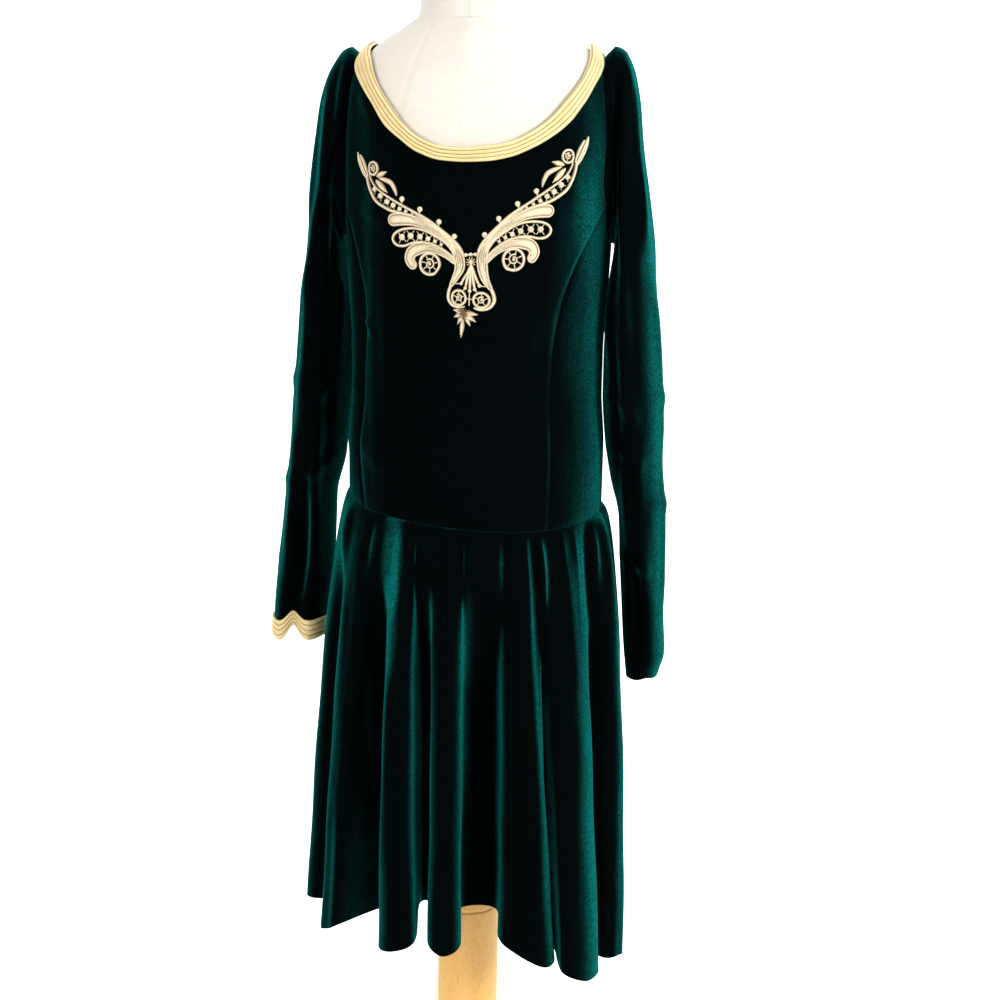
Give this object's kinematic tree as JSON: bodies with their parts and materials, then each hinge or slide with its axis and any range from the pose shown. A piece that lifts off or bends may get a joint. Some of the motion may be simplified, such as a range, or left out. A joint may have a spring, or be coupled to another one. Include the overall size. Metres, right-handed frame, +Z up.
{
  "type": "velvet costume dress on a limbless dress form",
  "caption": "Long-sleeved velvet costume dress with corded neck trim, scrolled chest applique and a full folded skirt, worn by a limbless linen dress form on a wooden stand.",
  "frame": {"origin": "centre of the stand's flat underside", "axes": "+Z up along the column, the dress faces -Y, the wearer's left is +X"},
  "size_m": [0.4282, 0.3331, 1.4573],
  "materials": {
    "velvet": "bottle-green stretch velvet with a short pile",
    "gold_trim": "woven gold cord braid",
    "lace": "cream-gold corded lace",
    "linen": "plain woven linen cover",
    "wood": "pale oiled beech"
  },
  "bodies": {
    "root": {"bodice_front": "velvet", "bodice_side_right": "velvet", "bodice_side_left": "velvet", "bodice_back": "velvet", "sleeve_right": "velvet", "sleeve_left": "velvet", "skirt_front": "velvet", "skirt_back": "velvet", "neck_trim": "gold_trim", "cuff_trim_right": "gold_trim", "cuff_trim_left": "gold_trim", "applique": "lace", "form_torso": "linen", "form_neck": "linen", "column": "wood", "base": "wood"}
  },
  "joints": []
}
